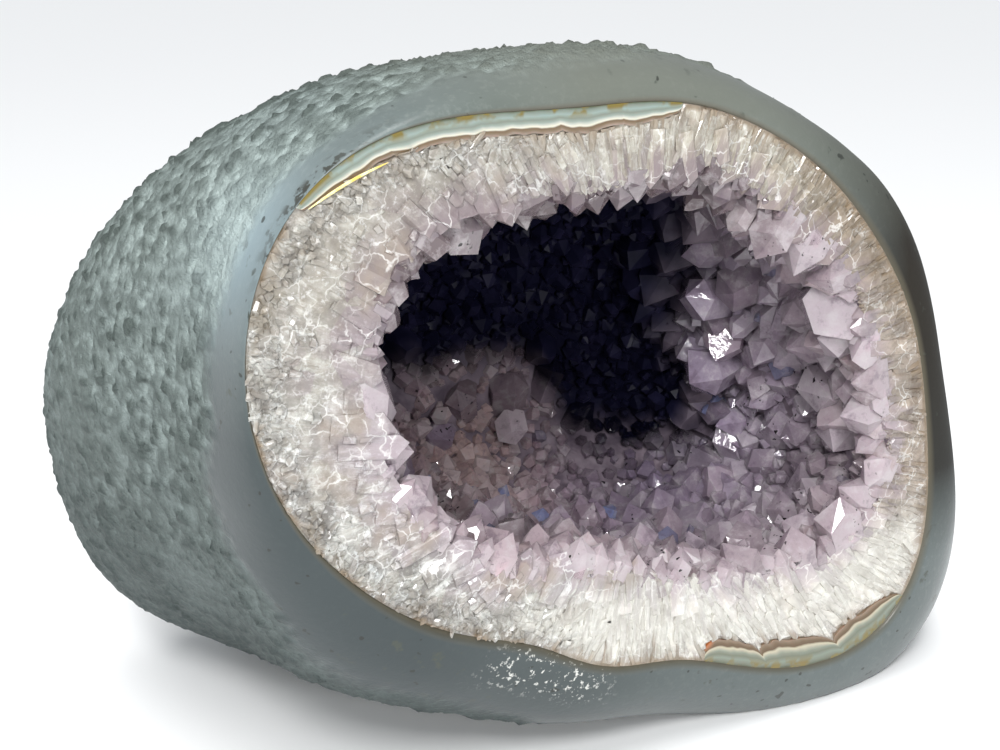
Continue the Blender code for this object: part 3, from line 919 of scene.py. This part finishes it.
def make_crystals(name, points, material, marks):
    """One piece from many crystals; marks hold a number for each crystal or for each point."""
    count = len(points)
    start = np.arange(count)[:, None, None] * CRYSTAL_POINTS
    faces = []
    for shape in (SIDES, TIPS, ROOT):
        faces += (np.array(shape)[None] + start).reshape(-1, len(shape[0])).tolist()
    kept = {key: np.repeat(values, CRYSTAL_POINTS) if len(values) == count else values
            for key, values in marks.items()}
    kept["tip"] = np.tile(TIP_MARK, count)
    piece = make_piece(name, points.reshape(-1, 3), faces, material, kept)
    return piece


def make_columns():
    """Columns of quartz across the cut face: prisms that lie in the face and point at the hollow.

    Their tops are cut off at the face, each at its own small height. Near the rind on the left
    they lie in all directions.
    """
    draw = np.random.default_rng(11)
    count = 2300
    angle = draw.uniform(0, TURN, count)
    start = draw.uniform(0.0, 0.9, count)
    left = on_left(angle)
    start = np.where(draw.uniform(0, 1, count) < 0.75 * left, start * 0.3, start)
    rim = crust_inside(angle, np.zeros(count), 0.3 * MM)
    gap = cavity_wall(angle, np.zeros(count)) - rim
    width = np.linalg.norm(gap, axis=1)
    agate = lens_thickness(np.degrees(angle)) / width
    start = agate + (1 - agate) * start
    inward = gap / width[:, None]
    loose = 0.14 + 0.9 * left * (start < 0.4)
    axis = unit(inward + draw.normal(size=(count, 3)) * loose[:, None] * [1, 0.6, 1])
    radius = draw.uniform(0.5, 0.9, count) * (1 + 0.9 * start) * MM
    length = draw.uniform(3.5, 9.0, count) * (1 - 0.7 * left) * MM
    base = rim + inward * (start * width)[:, None]
    base[:, 1] = draw.uniform(0.1, 0.9, count) * radius
    reach = np.maximum(np.minimum(length, (1.05 - start) * width), 1.2 * MM)
    points = crystals(base, axis, radius, reach, np.full(count, 0.8 * MM), draw)
    top = -draw.uniform(0.0, 0.45, count) * MM * (1 + left)
    points[..., 1] = np.maximum(points[..., 1], top[:, None])
    points = inside_rim(points)
    marks = quartz_marks(points.reshape(-1, 3), np.repeat(start, CRYSTAL_POINTS))
    make_crystals("quartz_columns", points, QUARTZ, marks)


# ---------------------------------------------------------------- druse
# Single crystals: name, angle and place on the hollow's wall, way it points, radius, reach, steepness
# of its tip and lightness; a lightness above 0.3 also lifts the crystal out of the painted shade.
HEROES = [
    ("roof_tip_long", 131, 0.05, (0.55, -0.15, -0.8), 5.0, 9.5, 1.1, 0.8),
    ("roof_tip_behind", 125, 0.13, (0.45, -0.1, -0.9), 4.6, 10.5, 1.1, 0.25),
    ("roof_tip_middle", 116, 0.06, (0.2, -0.2, -0.95), 3.4, 7.5, 1.1, 0.7),
    ("roof_tip_right", 99, 0.07, (0.1, -0.2, -0.95), 4.2, 7.0, 1.0, 0.6),
    ("roof_tip_left", 142, 0.06, (0.75, -0.2, -0.6), 4.2, 6.5, 1.0, 0.9),
    ("roof_tip_last", 84, 0.06, (-0.05, -0.2, -0.95), 3.8, 6.5, 1.0, 0.75),
    ("left_lip_block", 166, 0.03, (0.72, -0.65, 0.2), 6.2, 5.0, 0.3, 1.0),
    ("left_lip_tip", 162, 0.12, (0.9, -0.3, -0.15), 4.4, 8.5, 0.9, 0.4),
    ("mound_peak", 358, 0.75, (0.15, -0.35, 0.92), 4.6, 8.5, 0.9, 0.30),
    ("mound_block", 352, 0.84, (-0.15, -0.45, 0.88), 5.4, 7.0, 0.5, 0.22),
    ("mound_shoulder", 348, 0.93, (-0.35, -0.5, 0.8), 5.0, 5.0, 0.6, 0.25),
    ("mound_side", 346, 0.70, (0.3, -0.55, 0.75), 4.0, 5.0, 0.9, 0.12),
    ("pale_plate_crystal", 16, 0.08, (-0.5, -0.8, 0.2), 7.8, 8.0, 0.12, 1.0),
    ("twin_point_upper", 354, 0.20, (-0.6, -0.7, 0.3), 7.2, 8.5, 0.9, 0.95),
    ("twin_point_lower", 346, 0.14, (-0.5, -0.5, -0.5), 6.0, 6.5, 0.9, 0.8),
    ("roof_corner_point", 50, 0.10, (-0.5, -0.3, -0.7), 6.4, 8.0, 0.9, 0.6),
    ("wall_point_high", 38, 0.30, (-0.9, -0.3, -0.1), 5.4, 10.0, 0.9, 0.55),
    ("wall_point_upper", 27, 0.38, (-0.9, -0.2, 0.2), 5.0, 10.0, 0.9, 0.4),
    ("wall_point_middle", 14, 0.40, (-0.9, -0.2, 0.1), 5.4, 11.0, 0.9, 0.55),
    ("wall_point_low", 358, 0.43, (-0.9, -0.3, -0.1), 6.4, 12.0, 0.9, 0.5),
    ("mound_point", 339, 0.83, (-0.45, -0.85, 0.35), 5.0, 7.5, 0.4, 1.0),
    ("left_floor_point", 222, 0.10, (0.3, -0.6, 0.7), 6.0, 6.0, 0.9, 0.5),
    ("left_floor_tip", 236, 0.22, (0.4, -0.5, 0.7), 5.0, 8.0, 0.9, 0.2),
    ("left_lip_point", 176, 0.05, (0.9, -0.3, 0.1), 6.0, 7.5, 0.9, 0.8),
]


def wall_points(spacing, first, last, draw):
    """Places spread evenly over the hollow's wall, with their unit normals into the hollow.

    The wall is crossed by rings one spacing apart, and each ring holds as many places as fit.
    """
    fine = np.linspace(0, NEAR_POLE, 400)
    length = lengths_along(cavity_wall(np.zeros(400), fine))
    rows = np.interp(np.arange(spacing / 2, length[-1], spacing), length, fine)
    angles, places = [], []
    for row in rows[(rows >= first) & (rows <= last)]:
        around = cavity_wall(np.linspace(0, TURN, 120), np.full(120, row))
        count = max(3, int(np.linalg.norm(np.diff(around, axis=0), axis=1).sum() / spacing))
        angles.append((np.arange(count) + draw.uniform(-0.35, 0.35, count)) * TURN / count
                      + draw.uniform(0, TURN))
        places.append(row + draw.uniform(-0.35, 0.35, count) * (rows[1] - rows[0]))
    angle = np.concatenate(angles)
    place = np.clip(np.concatenate(places), 0.004, 0.98)
    step = 0.004
    here = cavity_wall(angle, place)
    around = cavity_wall(angle + step, place) - here
    back = cavity_wall(angle, place + step) - here
    normal = unit(np.cross(around, back))
    middle = np.array([0, CAVITY_DEPTH * 0.4, 0])
    normal *= np.sign(np.sum(normal * (middle - here), axis=1))[:, None]
    return here, normal


def clear_of_heroes(base):
    """Which places lie clear of the largest crystals."""
    clear = np.ones(len(base), bool)
    for _, degrees, place, _, radius, *_ in HEROES:
        middle = cavity_wall(np.radians([degrees]), np.array([place]))
        clear &= np.linalg.norm(base - middle, axis=1) > (0.95 * radius + 0.5) * MM
    return clear


def single_crystals():
    """The separately modelled crystals: each one's node and its middle."""
    singles = []
    for name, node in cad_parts.items():
        if "crystal" in name:
            co = np.empty(len(node.data.vertices) * 3, np.float32)
            node.data.vertices.foreach_get("co", co)
            singles.append((node, co.reshape(-1, 3).mean(axis=0) - MIDDLE))
    return singles


def clear_of_singles(base, room):
    """Which places also lie clear of the separately modelled crystals."""
    clear = clear_of_heroes(base)
    for _, middle in single_crystals():
        clear &= np.linalg.norm(base - middle, axis=1) > room
    return clear


def make_druse(name, spacing, size, reach, seed, room=4.5 * MM, only_big=False):
    """A coat of amethyst points on the hollow's wall, coarser on the right and at the mouth.

    A coat of only_big points keeps to those places.
    """
    draw = np.random.default_rng(seed)
    base, normal = wall_points(spacing, 0, 0.98, draw)
    right = step_up(base[:, 0], 14 * MM, 44 * MM) * (1 - step_up(base[:, 1], 50 * MM, 66 * MM))
    mouth = 1 - step_up(base[:, 1], 8 * MM, 22 * MM)
    keep = clear_of_singles(base, room)
    if only_big:
        keep &= draw.uniform(0, 1, len(base)) < np.maximum(right, 0.55 * mouth)
    base, normal, right = base[keep], normal[keep], right[keep]
    count = len(base)
    coarse = 1 + 0.25 * right + 0.25 * noise(base, 18 * MM, seed)
    axis = normal + draw.normal(size=(count, 3)) * 0.33
    axis[:, 1] = np.where(base[:, 1] < 8 * MM, np.maximum(axis[:, 1], 0.05), axis[:, 1])
    axis = unit(axis)
    radius = draw.uniform(*size, count) * coarse * MM
    high = draw.uniform(*reach, count) * coarse * MM
    points = crystals(base, axis, radius, high, np.full(count, 2 * MM), draw)
    points[..., 1] = np.maximum(points[..., 1], -0.4 * MM)
    points = inside_rim(points)
    marks = {"chance": draw.uniform(0, 1, count), "warm": warmth(base), "dim": dimness(base)}
    # Points in the painted shade at the back get the near-black material, in pieces of their own.
    deep = in_painted_shade(base)
    for title, chosen, material in ((name, ~deep, POINTS), ("deep_" + name, deep, AMETHYST_IN_PAINTED_SHADE)):
        if chosen.any():
            make_crystals(title, points[chosen], material,
                          {key: values[chosen] for key, values in marks.items()})


def at_left_top(angle):
    """One at the left top of the hollow's edge, where the crystals are short, and less around it."""
    return np.exp(-((np.degrees(angle) - 150) / 15) ** 2)


def make_cut_points():
    """Large crystals that lie in the cut face beside the hollow: cut flat, their tips over its edge."""
    draw = np.random.default_rng(33)
    count = 66
    angle = (np.arange(count) + draw.uniform(-0.4, 0.4, count)) * TURN / count
    inward = towards_middle(angle)
    back = draw.uniform(5.0, 8.5, count) * MM
    base = cavity_wall(angle, np.zeros(count)) - inward * back[:, None]
    axis = unit(inward + draw.normal(size=(count, 3)) * [0.2, 0.06, 0.2])
    radius = draw.uniform(2.2, 4.2, count) * MM
    base[:, 1] = 0.45 * radius
    reach = back + draw.uniform(0.5, 5.5, count) * (1 - 0.6 * at_left_top(angle)) * MM
    points = crystals(base, axis, radius, reach, np.full(count, 0.5 * MM), draw)
    points[..., 1] = np.maximum(points[..., 1], -draw.uniform(0.1, 0.75, (count, 1)) * MM)
    points = inside_rim(points)
    flat = points.reshape(-1, 3)
    turn, radius = polar(flat)
    across = ring(OPENING, turn) - radius
    share = np.clip(across / (ring(OPENING, turn) - ring(CAVITY, turn)), 0, 1.2)
    make_crystals("cut_points", points, QUARTZ, quartz_marks(flat, share))


def make_lip_points():
    """Crystals round the lip of the hollow that point at its middle, with their fronts cut flat."""
    draw = np.random.default_rng(31)
    count = 74
    angle = (np.arange(count) + draw.uniform(-0.4, 0.4, count)) * TURN / count
    base = cavity_wall(angle, draw.uniform(0.0, 0.05, count))
    axis = unit(towards_middle(angle, 0.25) + draw.normal(size=(count, 3)) * 0.2)
    upper = step_up(np.sin(angle), 0.2, 0.7)
    radius = draw.uniform(2.2, 3.8, count) * (1 + 0.15 * upper) * MM
    base[:, 1] += 0.55 * radius
    high = draw.uniform(3.0, 6.5, count) * (1 + 0.35 * upper)
    high = high * (1 - 0.45 * at_left_top(angle)) * MM
    points = crystals(base, axis, radius, high, np.full(count, 3 * MM), draw)
    points[..., 1] = np.maximum(points[..., 1], -draw.uniform(0, 0.6, (count, 1)) * MM)
    kept = clear_of_heroes(base)
    points, count = points[kept], kept.sum()
    make_crystals("lip_points", inside_rim(points), POINTS,
                  {"chance": draw.uniform(0.05, 1, count), "warm": 0.4 * draw.uniform(0, 1, count),
                   "dim": np.zeros(count)})


def in_painted_shade(base):
    """Which places lie in the hollow's painted shade, by the same sum as the material's."""
    behind = base[:, 1] - PAINTED_SHADE_DEPTH + PAINTED_SHADE_SLOPE * np.maximum(base[:, 2], 0)
    above = base[:, 2] - np.interp(base[:, 0], PAINTED_SHADE_SPAN, PAINTED_SHADE_LEVEL)
    return (behind > 4 * MM) & (above > 4 * MM)


def glow(base, place, reach):
    """A soft round patch: one at its middle, falling with the square of the distance."""
    return np.exp(-np.sum((base - place) ** 2, axis=1) / (reach * MM) ** 2)


def dimness(base):
    """Patches of painted shade on the floor: behind the right-hand wall, and below the mound."""
    behind_wall = glow(base, [0.038, 0.068, -0.030], 17)
    below_mound = glow(base, [-0.017, 0.040, -0.030], 20)
    return 0.5 * behind_wall + 0.5 * below_mound


def warmth(base):
    """How brown the crystals are: most on the mound at the back and on the floor at the left."""
    mound = glow(base, [0.002, 0.068, -0.026], 27)
    floor_left = glow(base, [-0.032, 0.034, -0.022], 24)
    return np.clip(0.9 * mound + 0.7 * floor_left, 0, 0.9)


def make_heroes():
    """The largest crystals, each a piece of its own, on the hollow's wall."""
    draw = np.random.default_rng(5)
    for name, degrees, place, way, radius, reach, steep, light in HEROES:
        base = cavity_wall(np.radians([degrees]), np.array([place]))
        axis = np.array([way]) / np.linalg.norm(way)
        points = crystals(base, axis, np.array([radius * MM]), np.array([reach * MM]),
                          np.array([5 * MM]), draw, steep)
        points[..., 1] = np.maximum(points[..., 1], -0.4 * MM)
        make_crystals(name, inside_rim(points), POINTS,
                      # Painted light and shade: a dim below zero lifts a light crystal out of the
                      # painted shade, and 0.3 adds painted shade to a darker one.
                      {"chance": np.array([light]), "warm": 0.6 * warmth(base),
                       "dim": np.array([-0.8 if light > 0.3 else 0.3])})


GLINT_ENDS = np.array([[-66, 0, 49], [-52, 0, 55.3]]) * MM


def make_painted_gold_glint():
    """A painted glint: a thin gold-coloured sliver in the cut face near the upper agate, where a
    fracture catches the light: a flat rod that tapers both ways.
    """
    share = np.linspace(0, 1, 40)[:, None]
    path = (1 - share) * GLINT_ENDS[0] + share * GLINT_ENDS[1]
    path[:, 2] += 0.5 * MM * np.sin(math.pi * share[:, 0])
    turn = np.arange(8) * TURN / 8
    wide = 0.28 * MM * np.sin(math.pi * np.clip(share, 0.02, 0.98)) ** 0.5
    grid = path[:, None] + np.stack([np.cos(turn) * -0.4 * wide, np.sin(turn) * wide - 0.5 * MM,
                                     np.cos(turn) * 0.9 * wide], axis=-1)
    points, faces = closed_cup(grid)
    material, tree, shader = new_material("painted_gold_glint", Roughness=0.2)
    streaks = speckle(tree, place_of(tree), 600.0, 2.0)
    gold = blend(tree, spread(tree, streaks, 0.35, 0.65), (0.72, 0.52, 0.12, 1), (1.0, 0.92, 0.45, 1))
    tree.links.new(gold, shader.inputs["Base Color"])
    piece = make_piece("painted_gold_glint", points, faces, material, smooth=True)
    face_outwards(piece)


# ---------------------------------------------------------------- stage, light and camera
# Name, kind, place, size in metres or radians, and power of each lamp, and the spot they point at.
LAMPS = [("key", "AREA", (-0.42, -0.62, 0.72), 0.22, 6.0),
         ("left_glint", "AREA", (-0.75, -0.45, 0.40), 0.10, 1.2),
         ("front_glint", "AREA", (-0.05, -0.95, 0.38), 0.14, 3.0),
         ("overhead", "SUN", (-0.15, -0.10, 0.95), 0.7, 1.9)]
LIT_SPOT = Vector((0, 0, 0.06))
FLOOR_COLOUR = (0.92, 0.92, 0.92, 1)
SKY_COLOUR = (0.36, 0.38, 0.40, 1)
BACKDROP_COLOUR = (1.0, 1.0, 1.0, 1)


def make_stage():
    """A plain pale floor under soft light from above and in front."""
    bpy.ops.mesh.primitive_plane_add(size=12, location=(0, 0, 0))
    floor = bpy.context.object
    floor.name = "floor"
    material = new_material("pale_floor", Roughness=0.8, Base_Color=FLOOR_COLOUR)[0]
    floor.data.materials.append(material)

    world = bpy.data.worlds.new("studio")
    bpy.context.scene.world = world
    world.use_nodes = True
    sky = world.node_tree.nodes["Background"]
    seen = add_node(world.node_tree, "LightPath").outputs["Is Camera Ray"]
    shown = blend(world.node_tree, seen, SKY_COLOUR, BACKDROP_COLOUR)
    world.node_tree.links.new(shown, sky.inputs["Color"])
    for name, kind, place, size, power in LAMPS:
        lamp = bpy.data.lights.new(name, kind)
        if kind == "AREA":
            lamp.size = size
        else:
            lamp.angle = size
        lamp.energy = power
        light = bpy.data.objects.new(name, lamp)
        bpy.context.scene.collection.objects.link(light)
        light.location = place
        light.rotation_euler = (Vector(place) - LIT_SPOT).to_track_quat("Z", "Y").to_euler()


CAMERA_SIDE = math.radians(29)
CAMERA_ABOVE = math.radians(18)
CAMERA_DISTANCE = 0.28
CAMERA_AIM = (-15.6 * MM, 28 * MM, 5.4 * MM)


def make_camera():
    """The camera stands left of the cut face and a little above, on a 50 mm lens."""
    side, above = CAMERA_SIDE, CAMERA_ABOVE
    aim = Vector(MIDDLE) + Vector(CAMERA_AIM)
    away = Vector((-math.sin(side) * math.cos(above), -math.cos(side) * math.cos(above),
                   math.sin(above)))
    data = bpy.data.cameras.new("camera")
    data.lens = 50
    data.sensor_width = 36
    data.clip_start = 0.01
    camera = bpy.data.objects.new("camera", data)
    bpy.context.scene.collection.objects.link(camera)
    camera.location = aim + away * CAMERA_DISTANCE
    camera.rotation_euler = away.to_track_quat("Z", "Y").to_euler()
    bpy.context.scene.camera = camera


def finish_singles():
    """Give the separately modelled crystals their amethyst, the near-black one where they lie in the
    painted shade at the back.
    """
    for node, middle in single_crystals():
        node.data.materials.clear()
        node.data.materials.append(AMETHYST_IN_PAINTED_SHADE if in_painted_shade(middle[None])[0] else SINGLES)


make_camera()
make_stage()
make_rind()
for lens in AGATE_LENSES:
    make_agate(*lens)
make_quartz_bed()
make_columns()
make_druse("great_points", 7.5 * MM, (3.2, 4.8), (4.0, 7.5), 20, 3 * MM, True)
make_druse("large_points", 5.4 * MM, (2.0, 3.2), (2.5, 5.2), 21)
make_druse("small_points", 3.2 * MM, (1.1, 2.0), (1.5, 3.2), 22)
make_cut_points()
make_lip_points()
make_heroes()
make_painted_gold_glint()
finish_singles()

bpy.context.scene.view_settings.view_transform = "Standard"
